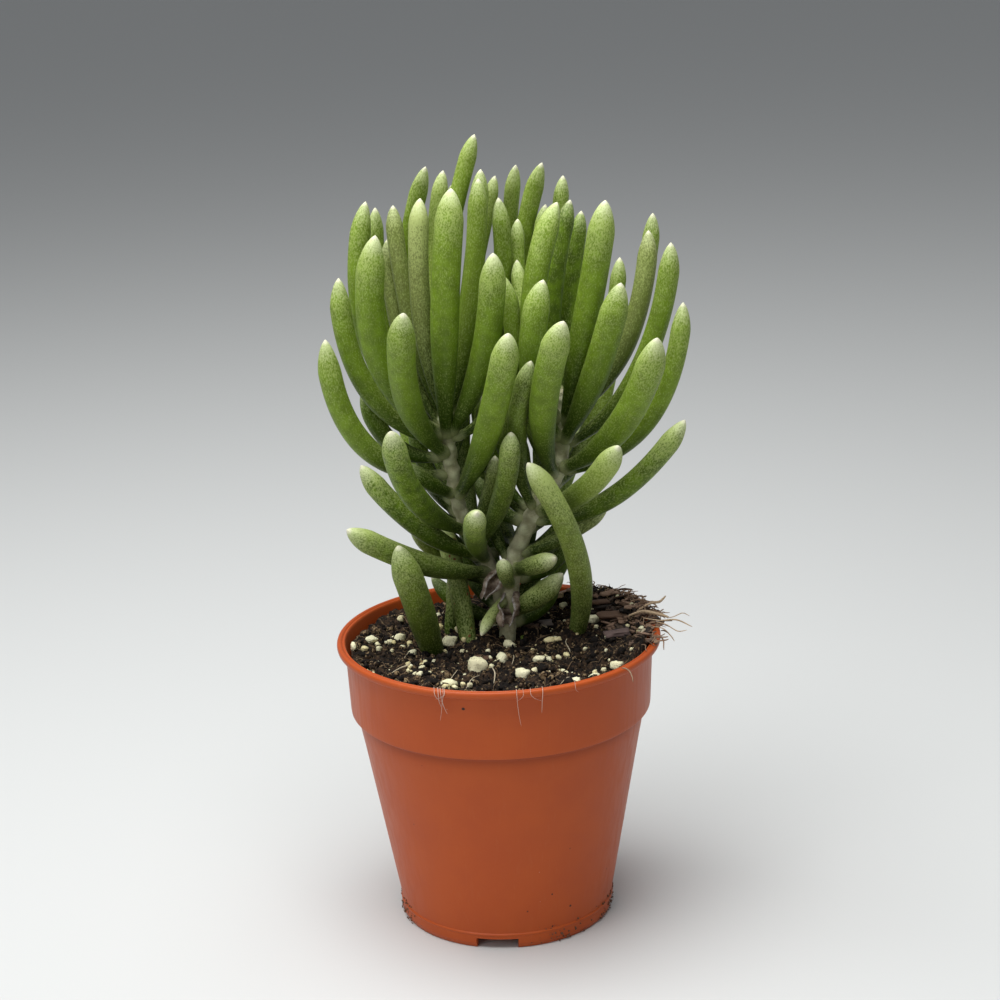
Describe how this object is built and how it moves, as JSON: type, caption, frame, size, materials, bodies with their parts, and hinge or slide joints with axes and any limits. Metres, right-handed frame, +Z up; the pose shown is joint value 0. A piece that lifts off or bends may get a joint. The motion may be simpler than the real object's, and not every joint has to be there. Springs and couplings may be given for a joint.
{
  "type": "potted senecio",
  "caption": "Potted succulent with two leafy stems of upright finger-shaped leaves, standing in dark potting soil in a round terracotta-coloured plastic nursery pot.",
  "frame": {"origin": "on the surface that the pot stands on, at the middle of the whole object's box; the pot's axis is 6 mm to -X of it", "axes": "+Z up along the pot's axis, -Y towards the side that the picture shows, +X to the viewer's right"},
  "size_m": [0.1535, 0.138, 0.3307],
  "materials": {
    "pot_plastic": "satin",
    "potting_soil": "matte",
    "leaf_green": "satin",
    "leaf_mealy": "matte"
  },
  "bodies": {
    "root": {"pot": "pot_plastic", "soil": "potting_soil", "leafy_stem_left": "leaf_green", "leafy_stem_right": "leaf_green", "soil_leaf_arched": "leaf_mealy", "soil_leaf_front": "leaf_mealy", "soil_leaf_speckled": "leaf_mealy", "soil_leaf_back": "leaf_mealy"}
  },
  "joints": []
}
